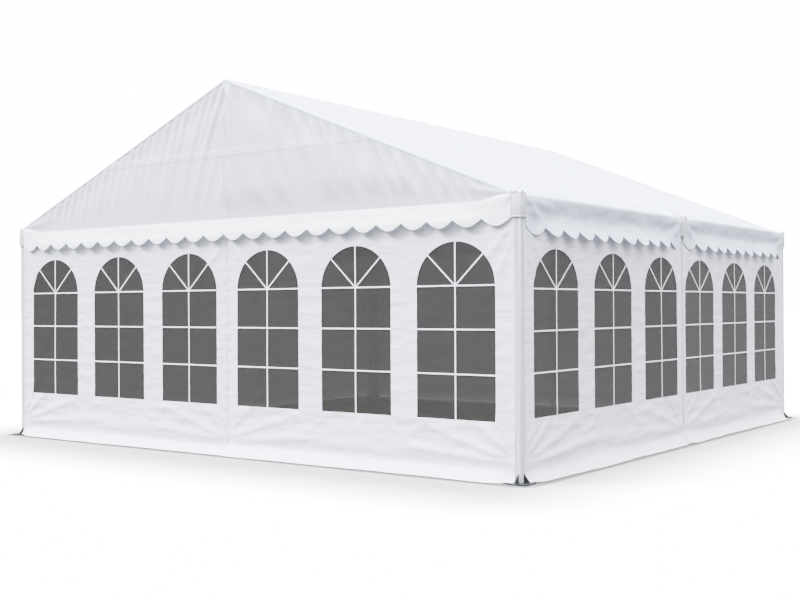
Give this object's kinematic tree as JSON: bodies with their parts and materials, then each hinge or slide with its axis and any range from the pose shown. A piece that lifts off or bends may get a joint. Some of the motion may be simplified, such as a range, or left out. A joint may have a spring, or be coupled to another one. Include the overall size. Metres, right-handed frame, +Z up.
{
  "type": "frame marquee tent",
  "caption": "Square white marquee tent with a gable roof, scalloped valances, arched clear windows in its front and right walls, and an aluminium frame on steel base plates.",
  "frame": {"origin": "middle of the footprint, on the ground, at the lower face of the base plates", "axes": "+X across the tent towards the windowed long side, +Y along the ridge from the front gable to the rear one, +Z up"},
  "size_m": [6.204, 6.204, 3.37],
  "materials": {
    "roof_pvc": "coated white polyester sheet, satin, cool white",
    "gable_pvc": "coated white polyester sheet, satin, wrinkled",
    "wall_pvc": "coated white polyester sheet, satin",
    "window_film": "clear flexible vinyl film with white glazing bars",
    "aluminium": "mill-finish extrusion",
    "galvanised_steel": "galvanised, weathered grey",
    "bracket_enamel": "light grey-white enamel"
  },
  "bodies": {
    "root": {"base_plate_front_left": "galvanised_steel", "base_plate_front_right": "galvanised_steel", "base_plate_middle_left": "galvanised_steel", "base_plate_middle_right": "galvanised_steel", "base_plate_rear_left": "galvanised_steel", "base_plate_rear_right": "galvanised_steel", "eave_beam_front_left": "aluminium", "eave_beam_front_right": "aluminium", "eave_beam_rear_left": "aluminium", "eave_beam_rear_right": "aluminium", "eave_bracket_front_left": "bracket_enamel", "eave_bracket_front_right": "bracket_enamel", "eave_bracket_middle_left": "bracket_enamel", "eave_bracket_middle_right": "bracket_enamel", "eave_bracket_rear_left": "bracket_enamel", "eave_bracket_rear_right": "bracket_enamel", "gable_beam_front": "aluminium", "gable_beam_rear": "aluminium", "gable_sheet_front": "gable_pvc", "gable_sheet_rear": "gable_pvc", "gable_upright_front": "aluminium", "gable_upright_rear": "aluminium", "post_front_left": "aluminium", "post_front_right": "aluminium", "post_middle_left": "aluminium", "post_middle_right": "aluminium", "post_rear_left": "aluminium", "post_rear_right": "aluminium", "rafters_front": "aluminium", "rafters_middle": "aluminium", "rafters_rear": "aluminium", "ridge_beam_front": "aluminium", "ridge_beam_rear": "aluminium", "roof_sheet_front": "roof_pvc", "roof_sheet_rear": "roof_pvc", "wall_front_left_half": "wall_pvc", "wall_front_right_half": "wall_pvc", "wall_left_front_bay": "wall_pvc", "wall_left_rear_bay": "wall_pvc", "wall_rear_left_half": "wall_pvc", "wall_rear_right_half": "wall_pvc", "wall_right_front_bay": "wall_pvc", "wall_right_rear_bay": "wall_pvc", "window_film_front_left_half": "window_film", "window_film_front_right_half": "window_film", "window_film_right_front_bay": "window_film", "window_film_right_rear_bay": "window_film"}
  },
  "joints": []
}
